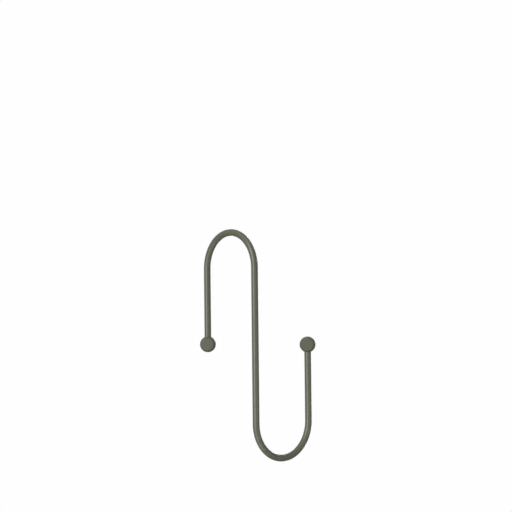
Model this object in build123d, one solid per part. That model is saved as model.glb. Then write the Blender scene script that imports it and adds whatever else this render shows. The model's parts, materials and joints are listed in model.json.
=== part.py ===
from build123d import *
import math
import os

# Twisted S hook: one length of round steel bar with a half-turn bend at each
# end, the two bends a quarter turn apart, and a flattened ball on each tip.
# Origin: the inside crown of the upper bend, where the hook sits on its rail.
# X runs across the upper bend, Y along the rail, and Z is up.

# Driving dimensions, in millimetres and degrees
rod_diameter = 5.0
upper_bend_radius = 26.5  # to the rod's centreline
lower_bend_radius = 26.5  # to the rod's centreline
shank_length = 114.0  # straight run between the two bends
upper_tip_drop = 56.7  # from the upper bend's end down to its ball's centre
lower_tip_rise = 56.5  # from the lower bend's end up to its ball's centre
twist = 90.0  # angle between the planes of the two bends
ball_diameter = 12.0
ball_thickness = 8.4  # across the two flats
flat_edge_radius = 0.15  # coating over the rim of a flat
neck_fillet = 0.4  # weld and coating where the rod meets a ball

# Places that follow from them
rod_radius = rod_diameter / 2
upper_bend_height = rod_radius - upper_bend_radius
lower_bend_height = upper_bend_height - shank_length
shank_side = -twist  # direction from the lower bend's centre to the shank
ball_facing = -twist / 2  # direction that the flats face, half way between the bends

shank_place = Vector(upper_bend_radius, 0)
lower_reach = Vector(-lower_bend_radius, 0).rotate(Axis.Z, shank_side)
lower_bend_place = shank_place + lower_reach
lower_tip_place = lower_bend_place + lower_reach
upper_tip_place = Vector(-upper_bend_radius, 0)


def rod_run(place, lower_end, length):
    """Upright straight run of the rod, from the height of its lower end."""
    run = Cylinder(rod_radius, length, align=(Align.CENTER, Align.CENTER, Align.MIN))
    return Pos(place.X, place.Y, lower_end) * run


def rod_bend(radius, over_the_top):
    """Half turn of the rod in the XZ plane, about the origin, starting on its +X side."""
    section = Pos(radius, 0) * Circle(rod_radius)
    turning_axis = Axis((0, 0, 0), (0, -1 if over_the_top else 1, 0))
    return revolve(section, axis=turning_axis, revolution_arc=180)


def make_rod():
    """The bent rod: tip, upper bend, shank, lower bend, tip."""
    upper_tip = rod_run(upper_tip_place, upper_bend_height - upper_tip_drop, upper_tip_drop)
    upper_bend = Pos(0, 0, upper_bend_height) * rod_bend(upper_bend_radius, True)
    shank = rod_run(shank_place, lower_bend_height, shank_length)
    lower_bend = Rot(0, 0, shank_side) * rod_bend(lower_bend_radius, False)
    lower_bend = Pos(lower_bend_place.X, lower_bend_place.Y, lower_bend_height) * lower_bend
    lower_tip = rod_run(lower_tip_place, lower_bend_height, lower_tip_rise)
    return upper_tip + upper_bend + shank + lower_bend + lower_tip


def make_ball(place, height):
    """Ball with two upright flats, centred on the end of a tip."""
    ball = Sphere(ball_diameter / 2) & Box(ball_diameter, ball_diameter, ball_thickness)
    flats = ball.faces().filter_by(GeomType.PLANE)
    ball = fillet(flats.edges(), flat_edge_radius)
    upright = Rot(0, 0, 90 + ball_facing) * Rot(90, 0, 0) * ball
    return Pos(place.X, place.Y, height) * upright


def make_hook():
    """Rod and balls joined into one solid, with the necks blended."""
    rod = make_rod()
    upper_ball = make_ball(upper_tip_place, upper_bend_height - upper_tip_drop)
    lower_ball = make_ball(lower_tip_place, lower_bend_height + lower_tip_rise)
    balls = upper_ball + lower_ball
    hook = rod + balls
    necks = new_edges(rod, balls, combined=hook)
    return fillet(necks, neck_fillet)


hook = make_hook()
rod_length = shank_length + upper_tip_drop + lower_tip_rise
rod_length += math.pi * (upper_bend_radius + lower_bend_radius)
print(f"rod length {rod_length:.1f} mm, solid {hook.volume / 1000:.2f} cm3")

os.makedirs("parts", exist_ok=True)
export_step(hook, "parts/hook.step")
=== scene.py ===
import json
import math

import bmesh
import bpy
from mathutils import Matrix, Vector


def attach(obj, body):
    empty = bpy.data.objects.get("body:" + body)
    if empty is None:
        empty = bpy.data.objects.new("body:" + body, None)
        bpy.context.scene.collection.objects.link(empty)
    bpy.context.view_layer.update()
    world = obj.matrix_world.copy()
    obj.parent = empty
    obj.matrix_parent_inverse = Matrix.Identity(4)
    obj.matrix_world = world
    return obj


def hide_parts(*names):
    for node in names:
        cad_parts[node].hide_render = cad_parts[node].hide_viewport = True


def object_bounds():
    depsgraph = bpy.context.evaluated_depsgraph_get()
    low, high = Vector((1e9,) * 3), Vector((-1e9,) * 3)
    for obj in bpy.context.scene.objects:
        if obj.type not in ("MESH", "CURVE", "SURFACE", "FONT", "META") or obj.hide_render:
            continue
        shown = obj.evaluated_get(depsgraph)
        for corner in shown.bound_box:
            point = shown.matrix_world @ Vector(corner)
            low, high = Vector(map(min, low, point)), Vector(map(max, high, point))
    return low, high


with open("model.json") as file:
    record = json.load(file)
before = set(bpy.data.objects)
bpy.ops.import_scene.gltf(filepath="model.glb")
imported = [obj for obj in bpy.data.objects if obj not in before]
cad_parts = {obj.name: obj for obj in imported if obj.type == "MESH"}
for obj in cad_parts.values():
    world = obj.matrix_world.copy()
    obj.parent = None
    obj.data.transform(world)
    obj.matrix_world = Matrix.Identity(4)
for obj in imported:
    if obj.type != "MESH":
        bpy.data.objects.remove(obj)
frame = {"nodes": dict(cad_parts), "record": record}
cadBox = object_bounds()
print("stage: frame loaded")

mm = 0.001
nodeStep = 200  # from one node to the next in the editor


def readSizes():
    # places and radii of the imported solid, from its two seats and its mesh
    seats = {m["name"]: m for m in frame["record"]["mounts"]}
    rail, load = seats["rail_seat"], seats["load_seat"]
    rodRadius = rail["dims"]["length_mm"] * mm / 2
    upperInside = rail["dims"]["r_mm"] * mm
    lowerInside = load["dims"]["r_mm"] * mm
    loadPlace = Vector(load["pos_m"])
    shank = Vector((upperInside + rodRadius, 0, 0))
    toLoad = Vector((loadPlace.x, loadPlace.y, 0)) - shank
    points = [v.co for v in frame["nodes"]["hook"].data.vertices]
    return {
        "rodRadius": rodRadius,
        "upperBend": upperInside + rodRadius,
        "lowerBend": lowerInside + rodRadius,
        "shank": shank,
        "shankTop": -upperInside,
        "shankFoot": loadPlace.z + lowerInside,
        "reach": toLoad,
        "upperEnd": min(p.z for p in points if p.x < 0),
        "lowerEnd": max(p.z for p in points if (p - shank).dot(toLoad) > toLoad.length_squared),
    }


size = readSizes()
print("stage: sizes read from the frame")


# the bent rod: straight and bent stretches, then a round section along them
rodSet = {
    "sides": 128,  # a multiple of four
    "ringSpacing": 0.001,
    "mergeDistance": 0.00001,  # joins the rings where two stretches meet
    "stretchStep": 100000.0,  # sets the stretches in order; no stretch has so many rings
}

# the flattened balls at the rod's two ends
ballSet = {
    "radius": 0.006,
    "thickness": 0.0084,  # across the two flats
    "edgeRadius": 0.00015,
    "edgeRings": 4,
    "flatRings": (0.25, 0.5, 0.75, 0.92, 0.985),  # shares of the way out to a flat's rim
    "neckBlend": 0.0004,  # weld and coat where the rod meets the ball
    "neckHeight": 0.0068,  # from the ball's centre to where the plain rod begins
    "neckRings": 6,
    "patchRings": 9,
}

upperBall = Vector((-size["upperBend"], 0, size["upperEnd"] + ballSet["radius"]))
lowerBall = size["shank"] + 2 * size["reach"] + Vector((0, 0, size["lowerEnd"] - ballSet["radius"]))
# the flats face half way between the two bends
ballFacing = (Vector((1, 0, 0)) - size["reach"].normalized()).normalized()

rodInputs = (  # name, kind, value
    ("Rod Radius", "NodeSocketFloat", size["rodRadius"]),
    ("Upper Bend Radius", "NodeSocketFloat", size["upperBend"]),
    ("Lower Bend Radius", "NodeSocketFloat", size["lowerBend"]),
    ("Shank Top", "NodeSocketFloat", size["shankTop"]),
    ("Shank Foot", "NodeSocketFloat", size["shankFoot"]),
    ("Upper Tip End", "NodeSocketFloat", upperBall.z + ballSet["neckHeight"]),
    ("Lower Tip End", "NodeSocketFloat", lowerBall.z - ballSet["neckHeight"]),
    ("Reach Angle", "NodeSocketFloat", math.atan2(size["reach"].y, size["reach"].x)),
    ("Ring Spacing", "NodeSocketFloat", rodSet["ringSpacing"]),
    ("Sides", "NodeSocketInt", rodSet["sides"]),
)


def addNode(tree, kind, links=None, **settings):
    made = tree.nodes.new(kind)
    made.location.x = nodeStep * len(tree.nodes)
    for name, value in settings.items():
        setattr(made, name, value)
    for key, value in (links or {}).items():
        if isinstance(value, bpy.types.NodeSocket):
            tree.links.new(value, made.inputs[key])
        else:
            made.inputs[key].default_value = value
    return made


def calc(tree, operation, first, second=0.0):
    return addNode(tree, "ShaderNodeMath", {0: first, 1: second}, operation=operation).outputs[0]


def combine(tree, x, y, z):
    return addNode(tree, "ShaderNodeCombineXYZ", {"X": x, "Y": y, "Z": z}).outputs[0]


def ringCount(tree, length, spacing):
    return calc(tree, "CEIL", calc(tree, "DIVIDE", calc(tree, "ABSOLUTE", length), spacing))


def inOrder(tree, points, stretch):
    # keeps each point's place along the path: its stretch, then its number in it
    index = addNode(tree, "GeometryNodeInputIndex").outputs[0]
    place = calc(tree, "ADD", index, stretch * rodSet["stretchStep"])
    return addNode(tree, "GeometryNodeStoreNamedAttribute",
                   {"Geometry": points, "Name": "alongPath", "Value": place},
                   data_type="FLOAT", domain="POINT").outputs[0]


def straightStretch(tree, stretch, start, end, length, spacing):
    line = addNode(tree, "GeometryNodeMeshLine",
                   {"Count": ringCount(tree, length, spacing), "Start Location": start, "Offset": end},
                   mode="END_POINTS", count_mode="TOTAL")
    points = addNode(tree, "GeometryNodeMeshToPoints", {"Mesh": line.outputs[0]})
    return inOrder(tree, points.outputs[0], stretch)


def bendStretch(tree, stretch, radius, sweep, place, turn, spacing):
    length = calc(tree, "MULTIPLY", radius, math.pi)
    arc = addNode(tree, "GeometryNodeCurveArc",
                  {"Resolution": ringCount(tree, length, spacing), "Radius": radius,
                   "Start Angle": math.pi, "Sweep Angle": sweep}, mode="RADIUS")
    upright = addNode(tree, "GeometryNodeTransform",
                      {"Geometry": arc.outputs[0], "Translation": place,
                       "Rotation": combine(tree, math.pi / 2, 0.0, turn)})
    points = addNode(tree, "GeometryNodeCurveToPoints", {"Curve": upright.outputs[0]}, mode="EVALUATED")
    return inOrder(tree, points.outputs[0], stretch)


def bentRodTree():
    tree = bpy.data.node_groups.new("bentRod", "GeometryNodeTree")
    tree.is_modifier = True
    tree.interface.new_socket("Geometry", in_out="INPUT", socket_type="NodeSocketGeometry")
    for name, kind, value in rodInputs:
        tree.interface.new_socket(name, in_out="INPUT", socket_type=kind).default_value = value
    tree.interface.new_socket("Material", in_out="INPUT", socket_type="NodeSocketMaterial")
    tree.interface.new_socket("Geometry", in_out="OUTPUT", socket_type="NodeSocketGeometry")
    given = addNode(tree, "NodeGroupInput").outputs
    upper, lower = given["Upper Bend Radius"], given["Lower Bend Radius"]
    top, foot, spacing = given["Shank Top"], given["Shank Foot"], given["Ring Spacing"]
    upperEnd, lowerEnd, turn = given["Upper Tip End"], given["Lower Tip End"], given["Reach Angle"]

    def reached(radii):
        # so many lower bend radii out from the shank, the way that bend reaches
        out = calc(tree, "MULTIPLY", lower, radii)
        x = calc(tree, "ADD", upper, calc(tree, "MULTIPLY", out, calc(tree, "COSINE", turn)))
        return x, calc(tree, "MULTIPLY", out, calc(tree, "SINE", turn))

    upperTipX = calc(tree, "MULTIPLY", upper, -1.0)
    bendX, bendY = reached(1.0)
    tipX, tipY = reached(2.0)
    stretches = [
        straightStretch(tree, 0, combine(tree, upperTipX, 0.0, upperEnd),
                        combine(tree, upperTipX, 0.0, top), calc(tree, "SUBTRACT", top, upperEnd), spacing),
        bendStretch(tree, 1, upper, -math.pi, combine(tree, 0.0, 0.0, top), 0.0, spacing),
        straightStretch(tree, 2, combine(tree, upper, 0.0, top), combine(tree, upper, 0.0, foot),
                        calc(tree, "SUBTRACT", top, foot), spacing),
        bendStretch(tree, 3, lower, math.pi, combine(tree, bendX, bendY, foot), turn, spacing),
        straightStretch(tree, 4, combine(tree, tipX, tipY, foot), combine(tree, tipX, tipY, lowerEnd),
                        calc(tree, "SUBTRACT", lowerEnd, foot), spacing),
    ]
    joined = addNode(tree, "GeometryNodeJoinGeometry")
    for points in reversed(stretches):
        tree.links.new(points, joined.inputs[0])
    merged = addNode(tree, "GeometryNodeMergeByDistance",
                     {"Geometry": joined.outputs[0], "Distance": rodSet["mergeDistance"]})
    place = addNode(tree, "GeometryNodeInputNamedAttribute", {"Name": "alongPath"}, data_type="FLOAT")
    path = addNode(tree, "GeometryNodePointsToCurves",
                   {"Points": merged.outputs[0], "Weight": place.outputs[0]})
    section = addNode(tree, "GeometryNodeCurvePrimitiveCircle",
                      {"Resolution": given["Sides"], "Radius": given["Rod Radius"]}, mode="RADIUS")
    rod = addNode(tree, "GeometryNodeCurveToMesh",
                  {"Curve": path.outputs[0], "Profile Curve": section.outputs[0], "Fill Caps": False})
    realized = addNode(tree, "GeometryNodeRealizeInstances", {"Geometry": rod.outputs[0]})
    coated = addNode(tree, "GeometryNodeSetMaterial",
                     {"Geometry": realized.outputs[0], "Material": given["Material"]})
    addNode(tree, "NodeGroupOutput", {0: coated.outputs[0]})
    return tree


def makeRod(material):
    tree = bentRodTree()
    holder = bpy.data.objects.new("rodHolder", bpy.data.meshes.new("rodHolder"))
    bpy.context.scene.collection.objects.link(holder)
    modifier = holder.modifiers.new("bentRod", "NODES")
    modifier.node_group = tree
    identifiers = {s.name: s.identifier for s in tree.interface.items_tree if s.in_out == "INPUT"}
    for name, kind, value in rodInputs:
        modifier[identifiers[name]] = value
    modifier[identifiers["Material"]] = material
    mesh = bpy.data.meshes.new_from_object(holder.evaluated_get(bpy.context.evaluated_depsgraph_get()))
    bpy.data.objects.remove(holder)
    print(f"stage: rod made, {len(mesh.polygons)} faces")
    return mesh


def ballOutline():
    # from near one flat's centre to near the other's, as steps out from the facing axis and along it
    radius, edge, half = ballSet["radius"], ballSet["edgeRadius"], ballSet["thickness"] / 2
    lean = math.asin((half - edge) / (radius - edge))  # where the round band meets an edge
    edgeOut = (radius - edge) * math.cos(lean)
    upper = [(edgeOut * share, half) for share in ballSet["flatRings"]]
    for step in range(ballSet["edgeRings"]):
        angle = math.pi / 2 + (lean - math.pi / 2) * step / ballSet["edgeRings"]
        upper.append((edgeOut + edge * math.cos(angle), half - edge + edge * math.sin(angle)))
    rows = rodSet["sides"] // 4
    angles = [lean - 2 * lean * step / rows for step in range(rows + 1)]
    band = [(radius * math.cos(angle), radius * math.sin(angle)) for angle in angles]
    return upper + band + [(out, -up) for out, up in reversed(upper)]


def makeBall(shape, centre, upright):
    # lathed about its facing axis; where the rod comes in, a square patch narrows to the rod's ring
    side = rodSet["sides"] // 4
    around = 3 * side  # so the patch takes a third of the way round
    along = Vector((0, 0, upright))
    toWorld = Matrix((ballFacing.cross(along), ballFacing, along)).transposed()

    def put(point):
        return shape.verts.new(centre + toWorld @ Vector(point))

    outline = ballOutline()
    first = len(ballSet["flatRings"]) + ballSet["edgeRings"]
    last = first + side
    grid = []
    for turn in range(around):
        angle = 2 * math.pi * turn / around - math.pi / 3
        column = []
        for row, (out, up) in enumerate(outline):
            inPatch = 0 < turn < side and first < row < last
            column.append(None if inPatch else put((out * math.sin(angle), up, out * math.cos(angle))))
        grid.append(column)
    poles = put((0, outline[0][1], 0)), put((0, outline[-1][1], 0))
    for turn, column in enumerate(grid):
        following = grid[(turn + 1) % around]
        shape.faces.new((poles[0], column[0], following[0]))
        shape.faces.new((poles[1], following[-1], column[-1]))
        for row in range(len(outline) - 1):
            if not (turn < side and first <= row < last):
                shape.faces.new((column[row], column[row + 1], following[row + 1], following[row]))

    border = [grid[side][last - step] for step in range(side)]
    border += [grid[side - step][first] for step in range(side)]
    border += [grid[0][first + step] for step in range(side)]
    border += [grid[step][last] for step in range(side)]
    joinNeck(shape, border, centre, toWorld)


def joinNeck(shape, border, centre, toWorld):
    # rings from the patch's border over the ball, round the neck's blend and on to the rod's own last ring
    radius, blend, rodRadius = ballSet["radius"], ballSet["neckBlend"], size["rodRadius"]
    neckLean = math.asin((rodRadius + blend) / (radius + blend))
    blendUp = (radius + blend) * math.cos(neckLean)
    toLocal = toWorld.transposed()
    ends = [(toLocal @ (v.co - centre), v) for v in shape.verts if v.is_boundary]
    ends = [(p, v) for p, v in ends
            if abs(p.z - ballSet["neckHeight"]) < blend and math.hypot(p.x, p.y) < radius]
    # from the patch's first corner round
    ends.sort(key=lambda end: (math.atan2(end[0].y, end[0].x) + math.pi / 4) % (2 * math.pi))
    lines = []
    for start, (place, rodVertex) in zip(border, ends):
        outward = Vector((place.x, place.y, 0)).normalized()
        neck = outward * math.sin(neckLean) + Vector((0, 0, math.cos(neckLean)))
        startWay = (toLocal @ (start.co - centre)).normalized()
        line = [start]
        for step in range(1, ballSet["patchRings"] + 1):
            way = startWay.slerp(neck, step / ballSet["patchRings"])
            line.append(shape.verts.new(centre + toWorld @ (way * radius)))
        blendCentre = outward * (rodRadius + blend) + Vector((0, 0, blendUp))
        for step in range(1, ballSet["neckRings"] + 1):
            way = (-neck).slerp(-outward, step / ballSet["neckRings"])
            line.append(shape.verts.new(centre + toWorld @ (blendCentre + way * blend)))
        lines.append(line + [rodVertex])
    for line, following in zip(lines, lines[1:] + lines[:1]):
        for row in range(len(line) - 1):
            shape.faces.new((line[row], following[row], following[row + 1], line[row + 1]))


def makeHook(material):
    rodMesh = makeRod(material)
    shape = bmesh.new()
    shape.from_mesh(rodMesh)
    bpy.data.meshes.remove(rodMesh)
    makeBall(shape, upperBall, 1)
    makeBall(shape, lowerBall, -1)
    bmesh.ops.recalc_face_normals(shape, faces=shape.faces[:])
    openEdges = sum(1 for e in shape.edges if len(e.link_faces) != 2)
    volume = shape.calc_volume()
    mesh = bpy.data.meshes.new("hookBody")
    shape.to_mesh(mesh)
    shape.free()
    if "alongPath" in mesh.attributes:
        mesh.attributes.remove(mesh.attributes["alongPath"])
    mesh.polygons.foreach_set("use_smooth", [True] * len(mesh.polygons))
    mesh.materials.clear()
    mesh.materials.append(material)
    body = bpy.data.objects.new("hookBody", mesh)
    bpy.context.scene.collection.objects.link(body)
    print(f"stage: hook made, {len(mesh.polygons)} faces, {openEdges} open edges, {volume * 1e6:.2f} cm3")
    return body


# the satin powder coat
coatSet = {
    "colour": (0.076, 0.078, 0.053),
    "colourDark": (0.070, 0.072, 0.048),
    "roughness": 0.35,
    "roughnessSpread": 0.03,
    "ior": 1.5,
    "peelSize": 0.0007,  # width of one soft dimple in the coat
    "peelDetail": 1.0,
    "grainSize": 0.00016,
    "grainDetail": 2.0,
    "grainShare": 0.3,
    "bumpHeight": 0.0000025,
    "cloudSize": 0.02,
    "cloudDetail": 3.0,
}


def coatTextureGroup():
    # soft dimples and fine grain of a sprayed coat, with slow clouds of tone
    group = bpy.data.node_groups.new("coatTexture", "ShaderNodeTree")
    for name, kind in (("Position", "NodeSocketVector"), ("Peel Size", "NodeSocketFloat"),
                       ("Grain Size", "NodeSocketFloat"), ("Grain Share", "NodeSocketFloat"),
                       ("Cloud Size", "NodeSocketFloat")):
        group.interface.new_socket(name, in_out="INPUT", socket_type=kind)
    for name in ("Height", "Clouds"):
        group.interface.new_socket(name, in_out="OUTPUT", socket_type="NodeSocketFloat")
    given = addNode(group, "NodeGroupInput").outputs

    def noise(width, detail):
        scale = calc(group, "DIVIDE", 1.0, width)
        return addNode(group, "ShaderNodeTexNoise",
                       {"Vector": given["Position"], "Scale": scale, "Detail": detail}).outputs[0]

    peel = noise(given["Peel Size"], coatSet["peelDetail"])
    grain = noise(given["Grain Size"], coatSet["grainDetail"])
    clouds = noise(given["Cloud Size"], coatSet["cloudDetail"])
    height = addNode(group, "ShaderNodeMix", {"Factor": given["Grain Share"], "A": peel, "B": grain})
    addNode(group, "NodeGroupOutput", {"Height": height.outputs[0], "Clouds": clouds})
    return group


def powderCoat():
    material = bpy.data.materials.new("powderCoat")
    material.use_nodes = True
    tree = material.node_tree
    surface = tree.nodes["Principled BSDF"]
    surface.inputs["IOR"].default_value = coatSet["ior"]
    place = addNode(tree, "ShaderNodeTexCoord").outputs["Object"]
    texture = addNode(tree, "ShaderNodeGroup", node_tree=coatTextureGroup())
    tree.links.new(place, texture.inputs["Position"])
    for name, key in (("Peel Size", "peelSize"), ("Grain Size", "grainSize"),
                      ("Grain Share", "grainShare"), ("Cloud Size", "cloudSize")):
        texture.inputs[name].default_value = coatSet[key]
    tone = addNode(tree, "ShaderNodeMix", data_type="RGBA")
    tone.inputs["A"].default_value = (*coatSet["colourDark"], 1)
    tone.inputs["B"].default_value = (*coatSet["colour"], 1)
    tree.links.new(texture.outputs["Clouds"], tone.inputs["Factor"])
    tree.links.new(tone.outputs["Result"], surface.inputs["Base Color"])
    gloss = addNode(tree, "ShaderNodeMapRange",
                    {"Value": texture.outputs["Clouds"],
                     "To Min": coatSet["roughness"] - coatSet["roughnessSpread"],
                     "To Max": coatSet["roughness"] + coatSet["roughnessSpread"]})
    tree.links.new(gloss.outputs[0], surface.inputs["Roughness"])
    bump = addNode(tree, "ShaderNodeBump",
                   {"Height": texture.outputs["Height"], "Strength": 1.0,
                    "Distance": coatSet["bumpHeight"]})
    tree.links.new(bump.outputs[0], surface.inputs["Normal"])
    return material


hookBody = makeHook(powderCoat())
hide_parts("hook")
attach(hookBody, "root")


# floor and surroundings: white as the camera sees them, and dimmer in the light they give
stageSet = {
    "floorDrop": 2.5,  # below the hook's lowest point
    "floorWidth": 90.0,
    "floorLight": 0.326,
    "backdrop": (0.991, 0.991, 0.991),
    "ambientLight": 0.477,
}

# turn and rise: where a light stands as seen from the hook, in degrees right of the camera and up
lightSet = {
    "keySoftbox": {"turn": -37, "rise": 12, "distance": 2.8, "size": (0.7, 3.2), "power": 79.5},
    "upperSoftbox": {"turn": -28, "rise": 33, "distance": 2.8, "size": (1.0, 1.0), "power": 12.9},
    "lowerSoftbox": {"turn": -46, "rise": -32, "distance": 2.8, "size": (1.0, 1.0), "power": 6.3},
    "lowReflector": {"turn": -20, "rise": -60, "distance": 0.35, "size": (0.5, 0.3), "power": 0.55},
    "sideReflector": {"turn": 60, "rise": -20, "distance": 0.4, "size": (0.3, 0.3), "power": 0.26},
    "rightCard": {"turn": 38, "rise": 12, "distance": 2.8, "size": (1.8, 2.4), "power": 3.8},
    "rearCard": {"turn": 165, "rise": 5, "distance": 1.6, "size": (1.4, 1.6), "power": 6.4},
    "topCard": {"turn": -40, "rise": 75, "distance": 2.8, "size": (3.2, 3.2), "power": 17.3},
}

cameraSet = {
    "azimuth": 47.7,
    "distance": 1.156,  # from the middle of the shank, level
    "above": 0.034,
    "sideways": 0.0012,
    "tilt": 1.553,
    "roll": -0.61,
    "lens": 111.5,
}


def towards(turn, rise):
    a, e = math.radians(cameraSet["azimuth"] + turn), math.radians(rise)
    return Vector((math.sin(a) * math.cos(e), -math.cos(a) * math.cos(e), math.sin(e)))


def whiteToCamera(tree, shaderKind, light, output):
    # one shader for the camera's own rays and a dimmer one for all others
    seen = addNode(tree, shaderKind, {"Strength": 1.0, "Color": (*stageSet["backdrop"], 1)})
    soft = addNode(tree, shaderKind, {"Strength": light, "Color": (1, 1, 1, 1)})
    path = addNode(tree, "ShaderNodeLightPath")
    mix = addNode(tree, "ShaderNodeMixShader",
                  {0: path.outputs["Is Camera Ray"], 1: soft.outputs[0], 2: seen.outputs[0]})
    tree.links.new(mix.outputs[0], output.inputs["Surface"])


def makeFloor():
    half = stageSet["floorWidth"] / 2
    height = cadBox[0].z - stageSet["floorDrop"]
    mesh = bpy.data.meshes.new("floor")
    corners = [(x * half, y * half, height) for x, y in ((-1, -1), (1, -1), (1, 1), (-1, 1))]
    mesh.from_pydata(corners, [], [(0, 1, 2, 3)])
    paint = bpy.data.materials.new("floorWhite")
    paint.use_nodes = True
    tree = paint.node_tree
    tree.nodes.remove(tree.nodes["Principled BSDF"])
    whiteToCamera(tree, "ShaderNodeEmission", stageSet["floorLight"], tree.nodes["Material Output"])
    # less noise: so wide a floor is met by chance often enough
    paint.cycles.emission_sampling = "NONE"
    mesh.materials.append(paint)
    floor = bpy.data.objects.new("floor", mesh)
    bpy.context.scene.collection.objects.link(floor)


def makeWorld():
    world = bpy.data.worlds.new("studio")
    bpy.context.scene.world = world
    world.use_nodes = True
    tree = world.node_tree
    tree.nodes.remove(tree.nodes["Background"])
    whiteToCamera(tree, "ShaderNodeBackground", stageSet["ambientLight"], tree.nodes["World Output"])


def makeLights(middle):
    for name, values in lightSet.items():
        lamp = bpy.data.lights.new(name, "AREA")
        lamp.shape = "RECTANGLE"
        lamp.size, lamp.size_y = values["size"]
        lamp.energy = values["power"]
        # less noise: only the strongest light gains from it
        lamp.cycles.use_multiple_importance_sampling = name == "keySoftbox"
        light = bpy.data.objects.new(name, lamp)
        away = towards(values["turn"], values["rise"])
        light.location = middle + away * values["distance"]
        light.rotation_euler = (-away).to_track_quat("-Z", "Y").to_euler()
        light.visible_camera = False
        bpy.context.scene.collection.objects.link(light)


def makeCamera(middle):
    camera = bpy.data.objects.new("camera", bpy.data.cameras.new("camera"))
    camera.data.lens = cameraSet["lens"]
    turn = math.radians(cameraSet["azimuth"])
    right = Vector((math.cos(turn), math.sin(turn), 0))
    camera.location = (middle + towards(0, 0) * cameraSet["distance"]
                       + right * cameraSet["sideways"] + Vector((0, 0, cameraSet["above"])))
    aim = Matrix.Rotation(turn, 4, "Z") @ Matrix.Rotation(math.radians(90 + cameraSet["tilt"]), 4, "X")
    camera.rotation_euler = (aim @ Matrix.Rotation(math.radians(cameraSet["roll"]), 4, "Z")).to_euler()
    bpy.context.scene.collection.objects.link(camera)
    bpy.context.scene.camera = camera


shankMiddle = size["shank"] + Vector((0, 0, (size["shankTop"] + size["shankFoot"]) / 2))
makeFloor()
makeWorld()
makeLights(shankMiddle)
makeCamera(shankMiddle)
bpy.context.scene.view_settings.view_transform = "Standard"
print("stage: floor, lights and camera made")
